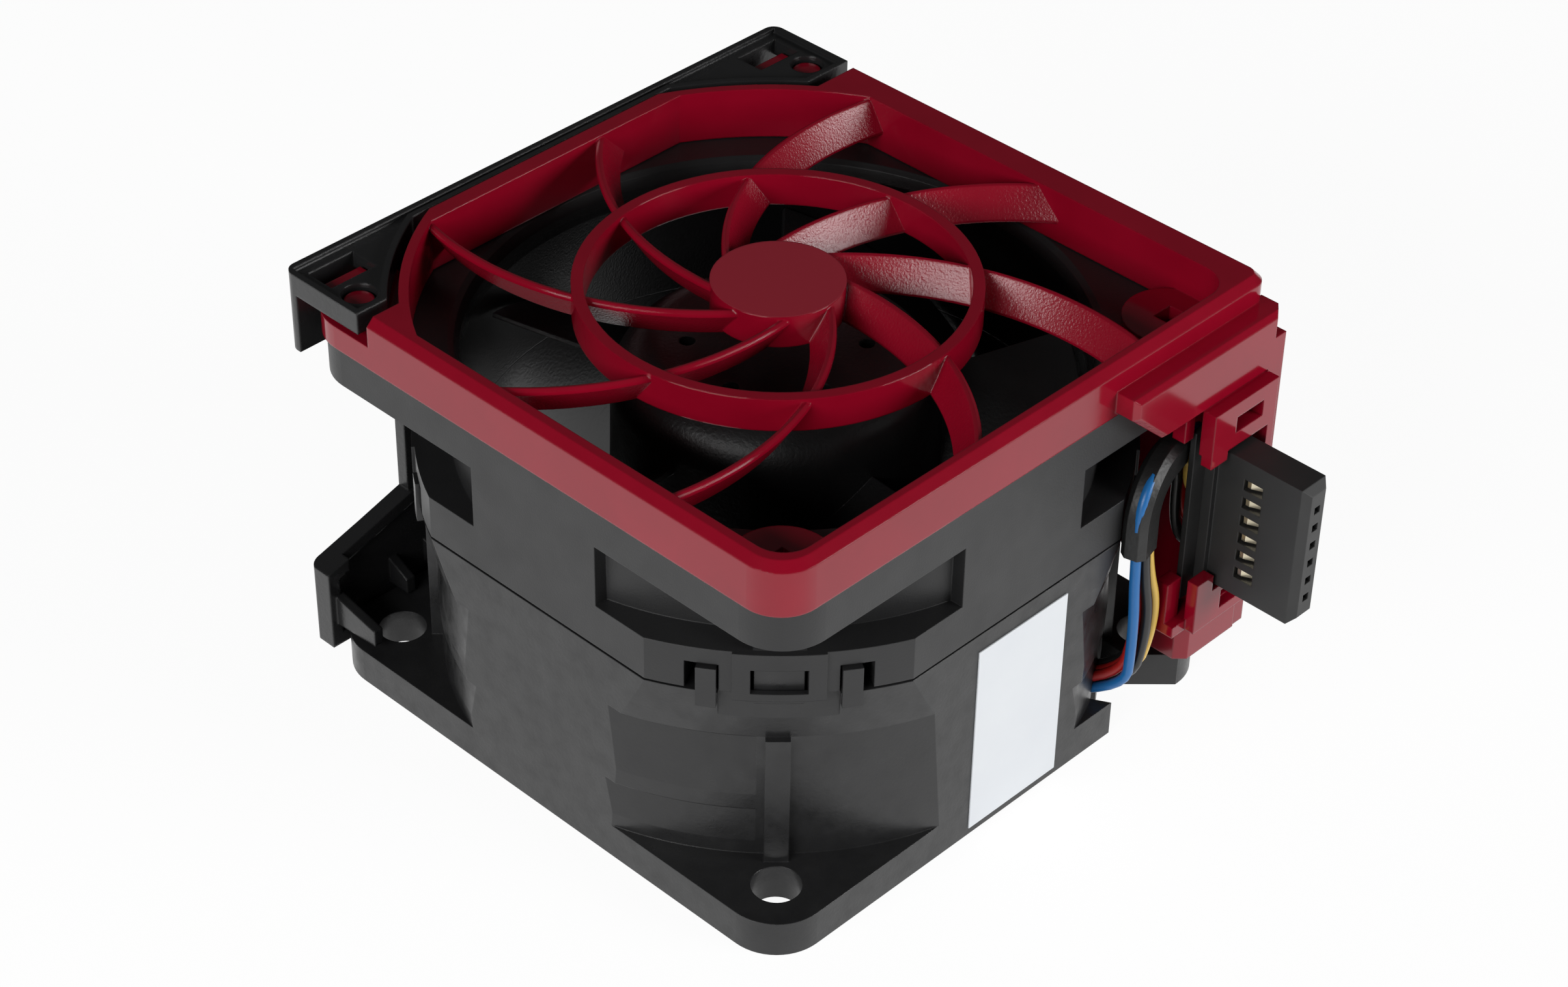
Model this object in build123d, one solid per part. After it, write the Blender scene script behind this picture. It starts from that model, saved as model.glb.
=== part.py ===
from build123d import *
import os
from math import atan2, cos, degrees, hypot, radians, sin, tan

# Server fan module: a square axial fan in a two-part snapped housing, with a moulded finger
# guard that also carries the power plug, and a clip-on side bracket.
# Millimetres. +Z is the fan's axis and points out of the air inlet. The origin is on the axis,
# in the plane of the exhaust flange. +X is the side with the plug, -X the side with the bracket.

# Fan housing, outside
FRAME = 60.0
CORNER_RADIUS = 5.0
FAN_HEIGHT = 38.5
REAR_FLANGE = 3.7
FRONT_FLANGE = 4.0
SEAM_HEIGHT = 23.4
SEAM_GAP = 0.25
BAND_TOP = 28.1
WALL_RADIUS_LOW = 31.4
WALL_RADIUS_STEP = 31.85
WALL_RADIUS_HIGH = 33.0
HOLE_PITCH = 50.0
HOLE_RADIUS = 2.3
INLET_HOLE_RADIUS = 2.1

# Air duct
DUCT_RADIUS = 28.5
INLET_FLARE = 1.0
EXHAUST_FLARE = 0.8
FLARE_DEPTH = 3.0
RECESS_RADIUS = 29.7
PANEL_WIDTH = 15.6
POST_RADIUS = 32.6
POST_HALF_ANGLE = 4.0

# Snap joint between the two housings, repeated at each corner
LIP_RADIUS = 29.3
LIP_HEIGHT = 1.2
LIP_CLEARANCE = 0.1
SNAP_RADIUS = 29.9
HOOK_RADIUS = 33.3
HOOK_HALF_ANGLE = 7.0
HOOK_DROP = 0.4
WINDOW_HALF_ANGLE = 4.3
WINDOW_LOW = 0.4
WINDOW_HIGH = 3.0
NUB_RADIUS = 32.6
NUB_CLEARANCE = 0.3
NOTCH_NEAR = 9.0
NOTCH_FAR = 14.2
NOTCH_HEIGHT = 3.1
POST_WIDTH_ANGLE = 3.1
POST_STAND = 0.35
POST_DROP = 1.4
TONGUE_HALF_ANGLE = 9.2
TONGUE_DROP = 5.1
TONGUE_DEPTH = 0.6

# Stepped corner pockets and corner ribs of the rear housing
POCKET_TOP = 17.8
POCKET_STEP = 9.1
POCKET_LEDGE = 0.5
POCKET_DRAFT = 0.35
POCKET_NEAR = 3.4
POCKET_FAR = 31.0
RIB_WIDTH = 2.2
RIB_RADIUS = 32.5
RIB_DEPTH = 3.0

# Cable notch in the exhaust flange
NOTCH_START = 14.9
EAR_EDGE_X = 26.5
EAR_EDGE_Y = 21.1

# Motor base and guide vanes, moulded with the rear housing
BASE_RADIUS = 15.2
BASE_RIM = 1.1
BASE_LOW = 0.8
BASE_FLOOR = 1.6
BASE_HIGH = 5.3
VANE_COUNT = 7
VANE_THICKNESS = 1.2
VANE_LOW = 0.8
VANE_HIGH = 5.3
VANE_LEAN = 22.0
VANE_FIRST_ANGLE = 78.0
VANE_PITCH = 44.6
VANE_BOW = 1.6

# Motor, fixed pieces
TUBE_RADIUS = 5.4
TUBE_BORE = 4.0
TUBE_TOP = 22.0
BEARING_HEIGHT = 4.0
BEARING_LOW = 3.6
BEARING_FIT = 0.02
SHAFT_RADIUS = 1.5
SHAFT_FIT = 0.02
RACE_INNER = 2.3
RACE_OUTER = 3.3
CORE_LOW = 9.0
CORE_HEIGHT = 8.0
CORE_RADIUS = 10.4
CORE_YOKE = 7.0
POLE_COUNT = 9
POLE_WIDTH = 1.5
SHOE_DEPTH = 0.9
SHOE_HALF_ANGLE = 16.5
COIL_OVERHANG = 1.3
COIL_THICKNESS = 0.9
BOARD_RADIUS = 13.6
BOARD_THICKNESS = 1.0
BOARD_LOW = 5.0

# Rotor
ROTOR_LOW = 6.4
ROTOR_HIGH = 37.0
HUB_RADIUS = 15.1
HUB_RADIUS_LOW = 15.6
HUB_WALL = 1.4
HUB_TOP_WALL = 1.6
HUB_SHOULDER = 4.4
HUB_HOLE_COUNT = 6
HUB_HOLE_RADIUS = 0.75
HUB_HOLE_CIRCLE = 8.1
HUB_HOLE_ANGLE = -16.0
HUB_BOSS_RADIUS = 3.6
HUB_BOSS_LOW = 22.6
BLADE_COUNT = 5
BLADE_TIP_GAP = 0.6
BLADE_THICKNESS = 1.0
BLADE_LOW = 8.0
BLADE_ROOT_HIGH = 31.0
BLADE_TIP_HIGH = 33.6
BLADE_WRAP = 60.0
BLADE_CAMBER = 0.09
BLADE_LEADING_ANGLE = -11.0
YOKE_WALL = 0.8
YOKE_LOW = 7.2
MAGNET_WALL = 1.9
MAGNET_LOW = 8.2
MAGNET_HEIGHT = 11.0
SHAFT_LOW = 2.6
CLIP_RADIUS = 2.6
CLIP_THICKNESS = 0.4
SPRING_THICKNESS = 0.3
SPRING_RADIUS = 3.2

# Finger guard
GUARD_GAP = 0.1
GUARD_SEAT = FAN_HEIGHT + GUARD_GAP
GUARD_HEIGHT = 5.3
GUARD_TOP = GUARD_SEAT + GUARD_HEIGHT
GUARD_FRONT = 30.3
GUARD_RIGHT = 30.1
GUARD_BACK = 32.3
GUARD_OPENING = 57.3
GUARD_CORNER_ARC = 33.6
GUARD_OPENING_ARC = 32.7
GUARD_CUT_X = -20.6
GUARD_BEVEL = 0.8
RING_RADIUS = 18.43
RING_WALL = 1.1
RING_HEIGHT = 3.3
DISC_RADIUS = 6.11
DISC_HEIGHT = 3.2
BOSS_RADIUS = 4.3
BOSS_HEIGHT = 1.1
SPOKE_COUNT = 8
SPOKE_FIRST_ANGLE = 7.0
SPOKE_DEPTH = 3.6
SPOKE_THICKNESS = 0.8
SPOKE_CHAMFER = 0.22
SPOKE_LEAN = 31.5
SPOKE_DROP = 0.4
SPOKE_RUN_IN = 14.0
SPOKE_EDGE = ((5.1, 4.2), (17.75, 0.56), (27.6, -8.24))
GUARD_EAR_RADIUS = 4.5
GUARD_EAR_HEIGHT = 1.5
PEG_CLEARANCE = 0.2
PEG_HOLE = 2.3
STRIP_TOP = GUARD_SEAT + 2.4
STRIP_SIZE = 9.9
LATCH_BAR = 1.2

# Plug holder, moulded with the guard: a beam, and below it a frame round the plug
PLUG_MIDDLE = GUARD_SEAT - 16.4
BLOCK_RIGHT = 32.5
BLOCK_TOP = GUARD_SEAT + 2.6
BLOCK_LOW = GUARD_SEAT - 3.6
BLOCK_START = 11.2
BLOCK_SLANT = (4.5, 2.1)
BLOCK_END = 32.1
BLOCK_BEVEL = 0.5
BLOCK_CORNER = ((33.5, 29.5), (33.5, 34.0), (29.9, 34.0))
PLATE_RIGHT = 33.7
PLATE_START = 21.3
PLATE_END = 30.3
PLATE_SLOT = (24.5, 28.3)
PLATE_SLOT_LOW = PLUG_MIDDLE + 9.7
PLATE_SLOT_HIGH = PLUG_MIDDLE + 11.4
LEG_END = 23.6
WALL_PROFILE = ((8.0, GUARD_SEAT - 1.6), (8.0, 24.0), (18.0, 7.0), (21.0, 4.6), (31.4, 4.6))
SHELF_LOW = 4.8
SHELF_HIGH = 8.6
SHELF_START = (27.1, 22.6)
SHELF_BEVEL = 1.0
PLUG_WINDOW_TOP = PLUG_MIDDLE + 8.15
PLUG_WINDOW_LOW = PLUG_MIDDLE - 8.0
CLIP_LOW = PLUG_MIDDLE - 11.9
CLIP_START = 21.9
CLIP_SLOT = (25.0, 28.0)
CLIP_SLOT_LOW = PLUG_MIDDLE - 10.8
CLIP_SLOT_HIGH = PLUG_MIDDLE - 8.7
CLIP_FLOOR = 1.2
CLIP_REAR = 29.6
PRONG_TOP = PLUG_MIDDLE - 6.2
REAR_PRONG = ((30.3, 19.4), (31.7, 21.3))
UPPER_PRONG = ((29.9, 20.2), (31.3, 21.5))
UPPER_PRONG_LOW = PLUG_MIDDLE + 9.4

# Plug
PIN_COUNT = 6
PIN_PITCH = 2.0
PIN_LOWEST = PLUG_MIDDLE - (PIN_COUNT - 1) / 2 * PIN_PITCH
PIN_Y = 25.85
PLUG_REAR = 32.4
PLUG_FRONT = 42.4
PLUG_THICKNESS = 3.4
PLUG_LOW = PLUG_MIDDLE - 7.6
PLUG_HIGH = PLUG_MIDDLE + 7.6
PLUG_BEVEL = 0.7
COLLAR_REAR = 31.4
COLLAR_STEP = 0.6
RETAINER_REAR = 30.8
RETAINER_SIDES = (21.8, 29.0)
RETAINER_LOW = PLUG_MIDDLE - 9.3
RETAINER_HIGH = PLUG_MIDDLE + 9.7
WIRE_CLEARANCE = 0.1
CAVITY = 1.5
CAVITY_END = 41.0
PIN_ENTRY = 0.8
WINDOW_AT = 36.5
WINDOW_SIZE = (2.1, 1.2)

# Contacts
CONTACT = 1.3
CONTACT_WALL = 0.25
CONTACT_REAR = 34.0
CONTACT_BORE = 35.6
CONTACT_FRONT = 40.6
CRIMP_MIDDLE = 33.4
CRIMP_LENGTH = 1.4
LANCE_REACH = 1.35
LANCE_ENDS = (0.85, 0.45)
LANCE_WIDTH = 0.8

# Wires: they rise behind the plug, turn over in a sleeve and drop to the flange notch
WIRE_RADIUS = 0.45
WIRE_SIDES = 6
WIRE_PITCH = 1.0
RISE_POINT = (28.55, 24.9)
DROP_POINT = (30.9, 15.4)
ENTRY_POINT = (29.7, 16.3)
TURN_HEIGHT = PLUG_MIDDLE + 7.2
SLEEVE_END = TURN_HEIGHT - 7.4
SLEEVE_LEAD = 0.6
BOW_HEIGHT = 13.0
ENTRY_HEIGHT = 3.6
PIN_BEND = 1.0
RISE_BEND = 1.6
DROP_BEND = 4.2
ENTRY_BEND = 3.0
SLEEVE_WALL = 0.2
SLEEVE_SLACK = 0.1
SLEEVE_CORNER = 0.6
WIRE_NAMES = ("black_wire_lower", "red_wire_lower", "red_wire_upper",
              "yellow_wire", "black_wire_upper", "blue_wire")
WIRE_COLUMNS = (1, 0, -1)
WIRE_BOWS = (0.9, 0.5, 0.2, 1.7, 1.0, 0.6)
WIRE_START = 32.7
PLUG_EXIT = 31.0
WIRE_END_RADIUS = 16.5

# Strut of the exhaust end that leads the wires to the motor base
STRUT_INNER = 14.6
STRUT_SIDE = 1.0

# Side bracket, as long as the guard that it clips on
BRACKET_MIDDLE = (GUARD_BACK - GUARD_FRONT) / 2
BRACKET_HALF_LENGTH = (GUARD_BACK + GUARD_FRONT) / 2 - 0.1
BRACKET_OUT = -32.1
BRACKET_WALL = 1.6
BRACKET_ARC = 34.6
BRACKET_PLATE_END = -22.0
BRACKET_LOW = GUARD_TOP - 2.3
BRACKET_TOP = GUARD_TOP - 0.6
BRACKET_RIM_TOP = GUARD_TOP - 0.1
BRACKET_RIM = 0.6
BRACKET_CORNER = 1.2
SKIRT_LOW = GUARD_TOP - 8.4
NECK_HALF_WIDTH = BRACKET_HALF_LENGTH - 11.5
NECK_WALL = 1.3
NECK_LOW = 13.6
FOOT_SHOULDER = (BRACKET_HALF_LENGTH - 6.3, 12.0)
FOOT_CORNER = (BRACKET_HALF_LENGTH - 0.1, 10.2)
FOOT_LOW = 1.5
FOOT_RIM = 1.3
FOOT_RIM_X = -29.3
PRONG_PROFILE = ((-31.0, 3.95), (-23.8, 4.5), (-23.8, 6.2), (-31.0, 7.7))
PRONG_WIDTH = 1.0
PRONG_OUT = BRACKET_HALF_LENGTH - 0.8
GUSSET_PROFILE = ((-31.0, 3.95), (-28.2, 3.95), (-28.2, 5.6), (-31.0, 7.0))
GUSSETS = (BRACKET_HALF_LENGTH - 8.6, BRACKET_HALF_LENGTH - 13.0)
BRACKET_END = BRACKET_MIDDLE - BRACKET_HALF_LENGTH
LATCH_WINDOW = (-28.9, BRACKET_END + 4.1, 3.35, 5.2)
LATCH_HOLE = (-24.9, BRACKET_END + 2.7, 1.65)
LATCH_CLEARANCE = 0.3

# Label
LABEL_THICKNESS = 0.12
LABEL_START = -5.2
LABEL_END = 6.6
LABEL_LOW = 0.8
LABEL_HIGH = 21.5

HALF = FRAME / 2
HOLE_AT = HOLE_PITCH / 2
CORNERS = [(-1, -1), (1, -1), (1, 1), (-1, 1)]
CORNER_ANGLES = [-135, -45, 45, 135]


def block(low, high):
    """Box between two opposite corners."""
    size = [b - a for a, b in zip(low, high)]
    middle = [(a + b) / 2 for a, b in zip(low, high)]
    return Pos(*middle) * Box(*size)


def disc(radius, low, high):
    return Pos(0, 0, (low + high) / 2) * Cylinder(radius, high - low)


def tube(outer, inner, low, high):
    return disc(outer, low, high) - disc(inner, low - 1, high + 1)


def sector(inner, outer, low, high, start, stop):
    """Part of a ring between two angles, in degrees from +X."""
    place = Pos((inner + outer) / 2, (low + high) / 2)
    section = Plane.XZ * place * Rectangle(outer - inner, high - low)
    return Rot(0, 0, start) * revolve(section, Axis.Z, stop - start)


def turned(points):
    """Solid of revolution about the fan's axis from (radius, height) points."""
    return revolve(Plane.XZ * make_face(Polyline(*points, close=True)), Axis.Z)


def arc_through(first, middle, last):
    """Centre and radius of the circle through three plan points."""
    (ax, ay), (bx, by), (cx, cy) = first, middle, last
    area = 2 * (ax * (by - cy) + bx * (cy - ay) + cx * (ay - by))
    a, b, c = ax**2 + ay**2, bx**2 + by**2, cx**2 + cy**2
    x = (a * (by - cy) + b * (cy - ay) + c * (ay - by)) / area
    y = (a * (cx - bx) + b * (ax - cx) + c * (bx - ax)) / area
    return x, y, hypot(ax - x, ay - y)


def bowed_bar(section, height, points, overrun):
    """Bar whose middle line is the plan arc through three points, a little longer each way."""
    x, y, radius = arc_through(*points)
    ends = [degrees(atan2(p[1] - y, p[0] - x)) for p in (points[0], points[2])]
    start, stop = min(ends) - overrun, max(ends) + overrun
    bar = revolve(Plane.XZ * Pos(radius, height) * section, Axis.Z, stop - start)
    return Pos(x, y) * Rot(0, 0, start) * bar


def square_plate(low, high):
    return Pos(0, 0, low) * extrude(RectangleRounded(FRAME, FRAME, CORNER_RADIUS), high - low)


def corner_holes(radius, low, high):
    hole = disc(radius, low, high)
    return [Pos(x * HOLE_AT, y * HOLE_AT) * hole for x, y in CORNERS]


def bundle_frame():
    """Unit directions along the wires' turn and across it, seen from above."""
    along = Vector(*DROP_POINT) - Vector(*RISE_POINT)
    along = along / along.length
    return along, Vector(-along.Y, along.X)


def entry_frame():
    """Unit directions round and out of the duct where the wires enter it."""
    outward = Vector(*ENTRY_POINT) / hypot(*ENTRY_POINT)
    return Vector(outward.Y, -outward.X), outward


def bundle_width():
    return 2 * (WIRE_PITCH + WIRE_RADIUS + SLEEVE_SLACK)


def radial_bar(inner, outer, width, low, high):
    """Straight bar that lies under the wires' way to the motor base."""
    bar = block((inner, -width / 2, low), (outer, width / 2, high))
    return Rot(0, 0, degrees(atan2(ENTRY_POINT[1], ENTRY_POINT[0]))) * bar


def guide_vane(angle):
    """Curved, leaning vane between the motor base and the duct wall."""
    section = Rectangle(VANE_THICKNESS, (VANE_HIGH - VANE_LOW) / cos(radians(VANE_LEAN)),
                        rotation=-VANE_LEAN)
    inner, outer = BASE_RADIUS - 0.6, DUCT_RADIUS + 0.8
    points = ((inner, 0), ((inner + outer) / 2, VANE_BOW), (outer, 0))
    bar = bowed_bar(section, (VANE_LOW + VANE_HIGH) / 2, points, 1.0)
    return Rot(0, 0, angle) * bar


def motor_base():
    rim_inner = BASE_RADIUS - BASE_RIM
    floor_top = BASE_LOW + BASE_FLOOR
    cup = turned([(0, BASE_LOW), (BASE_RADIUS - 0.8, BASE_LOW), (BASE_RADIUS, BASE_LOW + 0.8),
                  (BASE_RADIUS, BASE_HIGH), (rim_inner, BASE_HIGH), (rim_inner, BOARD_LOW),
                  (rim_inner - 1.2, BOARD_LOW), (rim_inner - 1.2, floor_top),
                  (TUBE_RADIUS + 1.0, floor_top), (TUBE_RADIUS + 1.0, BOARD_LOW - 0.3),
                  (TUBE_RADIUS, BOARD_LOW - 0.3), (TUBE_RADIUS, floor_top), (0, floor_top)])
    vanes = [guide_vane(VANE_FIRST_ANGLE + VANE_PITCH * i) for i in range(VANE_COUNT)]
    ring = tube(DUCT_RADIUS + 0.5, BASE_RADIUS - 0.3, VANE_LOW, VANE_HIGH)
    return cup + [vane & ring for vane in vanes]


def snap_tabs(angle):
    """Nub and two locating posts of the rear housing at one corner."""
    root = SEAM_HEIGHT - LIP_HEIGHT
    nub_half = WINDOW_HALF_ANGLE - 0.5
    inner = SNAP_RADIUS + LIP_CLEARANCE
    nub_top = SEAM_HEIGHT + WINDOW_HIGH - NUB_CLEARANCE
    tabs = [sector(inner, NUB_RADIUS, root, nub_top, angle - nub_half, angle + nub_half)]
    post_top = SEAM_HEIGHT + NOTCH_HEIGHT - NUB_CLEARANCE
    for side in (-1, 1):
        near = NOTCH_NEAR + 0.3
        ends = sorted((angle + side * near, angle + side * (near + POST_WIDTH_ANGLE)))
        tabs.append(sector(inner, WALL_RADIUS_HIGH + POST_STAND, SEAM_HEIGHT - POST_DROP, post_top, *ends))
    return tabs


def corner_pocket(angle, side):
    """Stepped pocket on one side of a corner rib; side is +1 for anticlockwise, -1 for clockwise.

    Each step leans out towards its foot, so its top ends in a ledge that fades into the flat wall."""
    start = angle + min(side * POCKET_NEAR, side * POCKET_FAR)
    steps = []
    top_radius = WALL_RADIUS_STEP - POCKET_LEDGE
    for high, low in ((POCKET_TOP, POCKET_STEP), (POCKET_STEP, REAR_FLANGE)):
        foot_radius = top_radius + POCKET_DRAFT
        section = Polyline((top_radius, high), (36, high), (36, low), (foot_radius, low), close=True)
        step = revolve(Plane.XZ * make_face(section), Axis.Z, POCKET_FAR - POCKET_NEAR)
        steps.append(Rot(0, 0, start) * step)
        top_radius = foot_radius - POCKET_LEDGE
    return steps


def cable_notch():
    """Gap in the exhaust flange through which the wires drop."""
    outside = HALF + 2
    inside = DUCT_RADIUS - 8
    outline = [(inside, NOTCH_START), (outside, NOTCH_START), (outside, EAR_EDGE_Y + outside - EAR_EDGE_X),
               (EAR_EDGE_X, EAR_EDGE_Y), (inside, EAR_EDGE_Y)]
    notch = extrude(make_face(Polyline(*outline, close=True)), REAR_FLANGE + 1)
    return Pos(0, 0, -1) * notch - disc(WALL_RADIUS_LOW, -2, FAN_HEIGHT)


def rear_housing():
    wall = turned([(0, REAR_FLANGE), (WALL_RADIUS_LOW, REAR_FLANGE), (WALL_RADIUS_STEP, POCKET_TOP),
                   (WALL_RADIUS_HIGH, SEAM_HEIGHT), (0, SEAM_HEIGHT)])
    wall = wall & Box(FRAME, FRAME, 2 * FAN_HEIGHT)
    for angle in CORNER_ANGLES:
        for side in (-1, 1):
            if (angle, side) != (-45, 1):
                wall -= corner_pocket(angle, side)
        wall -= sector(WALL_RADIUS_HIGH - TONGUE_DEPTH, 36, SEAM_HEIGHT - TONGUE_DROP, SEAM_HEIGHT + 1,
                       angle - TONGUE_HALF_ANGLE, angle + TONGUE_HALF_ANGLE)
        rib = block((RIB_RADIUS - RIB_DEPTH, -RIB_WIDTH / 2, REAR_FLANGE - 0.5),
                    (RIB_RADIUS, RIB_WIDTH / 2, POCKET_TOP))
        wall += Rot(0, 0, angle) * rib
    housing = square_plate(0, REAR_FLANGE) - cable_notch() + wall
    housing += disc(LIP_RADIUS, SEAM_HEIGHT - 1, SEAM_HEIGHT + LIP_HEIGHT)
    for angle in CORNER_ANGLES:
        housing += snap_tabs(angle)
    bore = DUCT_RADIUS
    housing -= turned([(0, -1), (bore + EXHAUST_FLARE, -1), (bore + EXHAUST_FLARE, 0),
                       (bore, FLARE_DEPTH), (bore, FAN_HEIGHT), (0, FAN_HEIGHT)])
    housing -= corner_holes(HOLE_RADIUS, -1, REAR_FLANGE + 0.01)
    housing += motor_base()
    strut_width = bundle_width() + 2 * STRUT_SIDE
    housing += radial_bar(STRUT_INNER, DUCT_RADIUS + 0.4, strut_width, BASE_LOW, BASE_HIGH)
    return housing - radial_bar(BASE_RADIUS - BASE_RIM - 1, HALF + 5, bundle_width(), -1, BOARD_LOW - 0.4)


def front_housing():
    flange_low = FAN_HEIGHT - FRONT_FLANGE
    low = SEAM_HEIGHT + SEAM_GAP
    square = Box(FRAME, FRAME, 4 * FAN_HEIGHT)
    band = disc(WALL_RADIUS_HIGH, low, BAND_TOP) & square
    for angle in CORNER_ANGLES:
        hook = (angle - HOOK_HALF_ANGLE, angle + HOOK_HALF_ANGLE)
        band += sector(SNAP_RADIUS, HOOK_RADIUS, low, BAND_TOP, *hook)
        tongue_radius = WALL_RADIUS_HIGH - TONGUE_DEPTH + 0.1
        band += sector(tongue_radius, HOOK_RADIUS, SEAM_HEIGHT - HOOK_DROP, low, *hook)
    middle = (low + flange_low) / 2 + 0.5
    height = flange_low - low
    panels = Pos(0, 0, middle) * (Box(FRAME, PANEL_WIDTH, height) + Box(PANEL_WIDTH, FRAME, height))
    posts = [sector(DUCT_RADIUS, POST_RADIUS, BAND_TOP - 0.5, flange_low + 0.5,
                    angle - POST_HALF_ANGLE, angle + POST_HALF_ANGLE) for angle in CORNER_ANGLES]
    housing = band + disc(RECESS_RADIUS, low, flange_low + 0.5) + panels
    housing += square_plate(flange_low, FAN_HEIGHT)
    housing += posts
    for angle in CORNER_ANGLES:
        notch_top = SEAM_HEIGHT + NOTCH_HEIGHT
        for near, far in ((NOTCH_NEAR, NOTCH_FAR), (-NOTCH_FAR, -NOTCH_NEAR)):
            housing -= sector(SNAP_RADIUS, 36, low - 1, notch_top, angle + near, angle + far)
        housing -= sector(SNAP_RADIUS, 36, SEAM_HEIGHT + WINDOW_LOW, SEAM_HEIGHT + WINDOW_HIGH,
                          angle - WINDOW_HALF_ANGLE, angle + WINDOW_HALF_ANGLE)
        housing -= sector(SNAP_RADIUS, NUB_RADIUS + 0.1, SEAM_HEIGHT - 1, SEAM_HEIGHT + 1,
                          angle - WINDOW_HALF_ANGLE, angle + WINDOW_HALF_ANGLE)
    housing -= disc(LIP_RADIUS + LIP_CLEARANCE, low - 1, SEAM_HEIGHT + LIP_HEIGHT)
    bore = DUCT_RADIUS
    flare = [(bore + INLET_FLARE * (1 - cos(radians(a))), FAN_HEIGHT - FLARE_DEPTH * (1 - sin(radians(a))))
             for a in (0, 30, 60, 90)]
    housing -= turned([(0, low - 1), (bore, low - 1)] + flare
                      + [(bore + INLET_FLARE, FAN_HEIGHT + 1), (0, FAN_HEIGHT + 1)])
    return housing - corner_holes(INLET_HOLE_RADIUS, flange_low - 1, FAN_HEIGHT + 1)


def guard_opening():
    round_side = Circle(GUARD_OPENING_ARC) + Pos(HALF / 2, 0) * Rectangle(HALF, FRAME)
    return RectangleRounded(GUARD_OPENING, GUARD_OPENING, 3.0) & round_side


def guard_rim():
    """Square wall of the guard; its two corners under the bracket are cut back to an arc."""
    low_x, width = -GUARD_FRONT, GUARD_RIGHT + GUARD_FRONT
    depth = GUARD_BACK + GUARD_FRONT
    outline = Pos(low_x + width / 2, GUARD_BACK - depth / 2) * Rectangle(width, depth)
    right = outline.vertices().sort_by(Axis.X)[-2:].sort_by(Axis.Y)
    outline = fillet(right[0], 4.0)
    back = outline.vertices().sort_by(Axis.Y)[-2:].sort_by(Axis.X)
    outline = fillet(back[-1], 1.8)
    side = GUARD_CUT_X - low_x + 1
    cut = Pos(GUARD_CUT_X - side / 2, 1) * Rectangle(side, depth + 4) - Circle(GUARD_CORNER_ARC)
    outline -= cut
    rim = Pos(0, 0, GUARD_SEAT) * extrude(outline, GUARD_TOP - GUARD_SEAT)
    bevel = [e for e in rim.edges() if e.center().Z > GUARD_TOP - 0.01 and e.center().X > GUARD_CUT_X + 1]
    rim = chamfer(bevel, GUARD_BEVEL)
    return rim - Pos(0, 0, GUARD_SEAT - 1) * extrude(guard_opening(), GUARD_TOP - GUARD_SEAT + 2)


def guard_spokes():
    """Curved spokes that lean over; the given arc is where their upper edge runs."""
    section = chamfer(Rectangle(SPOKE_DEPTH, SPOKE_THICKNESS).vertices(), SPOKE_CHAMFER)
    section = Rot(0, 0, 90 - SPOKE_LEAN) * Pos(-SPOKE_DEPTH / 2, 0) * section
    bar = bowed_bar(section, GUARD_TOP - SPOKE_DROP, SPOKE_EDGE, SPOKE_RUN_IN)
    bar -= disc(DISC_RADIUS - 1.0, 0, 2 * GUARD_TOP)
    reach = Pos(0, 0, GUARD_SEAT) * extrude(offset(guard_opening(), 0.5), GUARD_TOP - GUARD_SEAT)
    bars = [Rot(0, 0, SPOKE_FIRST_ANGLE + 360 / SPOKE_COUNT * i) * bar for i in range(SPOKE_COUNT)]
    return [bar & reach for bar in bars]


def guard_ears():
    """Two round lugs with hollow pegs that hold the guard in the inlet flange."""
    pieces = []
    for y in (-HOLE_AT, HOLE_AT):
        ear = disc(GUARD_EAR_RADIUS, GUARD_SEAT, GUARD_SEAT + GUARD_EAR_HEIGHT)
        ear += disc(INLET_HOLE_RADIUS - PEG_CLEARANCE, FAN_HEIGHT - FRONT_FLANGE, GUARD_SEAT + 0.5)
        ear -= Box(PEG_HOLE, PEG_HOLE, 4 * FAN_HEIGHT)
        pieces.append(Pos(HOLE_AT, y) * ear)
    return pieces


def mirrored(piece):
    """The same piece at both ends of the guard and its bracket."""
    return [piece, Pos(0, 2 * BRACKET_MIDDLE, 0) * piece.mirror(Plane.XZ)]


def latch_strips():
    """Low corner webs under the bracket, each with the bar and the pin that it snaps on."""
    x, y, width, length = LATCH_WINDOW
    hole_x, hole_y, hole_r = LATCH_HOLE
    middle = GUARD_FRONT - STRIP_SIZE / 2
    web = Pos(-middle, -middle) * Rectangle(STRIP_SIZE, STRIP_SIZE) - Circle(GUARD_CORNER_ARC - 0.4)
    web = web & RectangleRounded(2 * GUARD_FRONT, 2 * GUARD_FRONT, CORNER_RADIUS)
    web = Pos(0, 0, GUARD_SEAT) * extrude(web, STRIP_TOP - GUARD_SEAT)
    bar = Box(LATCH_BAR, length - 2 * LATCH_CLEARANCE, BRACKET_TOP - STRIP_TOP + 0.1)
    web += Pos(x + LATCH_CLEARANCE, y, (BRACKET_TOP - 0.9 + STRIP_TOP - 1) / 2) * bar
    web += Pos(hole_x, hole_y) * disc(hole_r - LATCH_CLEARANCE, STRIP_TOP - 1, BRACKET_TOP - 0.6)
    return mirrored(web)


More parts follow.
